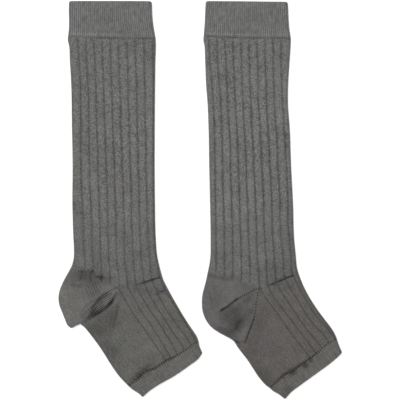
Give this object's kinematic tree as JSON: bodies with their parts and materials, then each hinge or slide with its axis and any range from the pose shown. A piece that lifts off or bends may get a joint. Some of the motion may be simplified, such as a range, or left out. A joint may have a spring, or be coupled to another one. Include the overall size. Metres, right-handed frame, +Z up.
{
  "type": "pair of long open-toe socks",
  "caption": "Grey ribbed knee-length socks with open toes, turned heels and fine-ribbed cuffs and toe bands, pressed flat and lying side by side.",
  "frame": {"origin": "middle of the pair's bounding box, on the surface the socks lie on", "axes": "+Y along the legs towards the cuffs, +X towards the socks' front edges and toes, +Z up out of the surface"},
  "size_m": [0.3006, 0.4218, 0.0055],
  "materials": {
    "cuff_knit": "matt fine-rib knit, heathered grey",
    "leg_knit": "matt broad-rib knit, heathered grey",
    "heel_knit": "matt plain knit, heathered grey",
    "foot_knit": "matt knit, broad rib over the instep and plain on the sole, heathered warm grey",
    "toe_band_knit": "matt fine-rib knit, heathered grey"
  },
  "bodies": {
    "root": {"left_cuff": "cuff_knit", "left_leg": "leg_knit", "left_heel": "heel_knit", "left_foot": "foot_knit", "left_toe_band": "toe_band_knit", "right_cuff": "cuff_knit", "right_leg": "leg_knit", "right_heel": "heel_knit", "right_foot": "foot_knit", "right_toe_band": "toe_band_knit"}
  },
  "joints": []
}
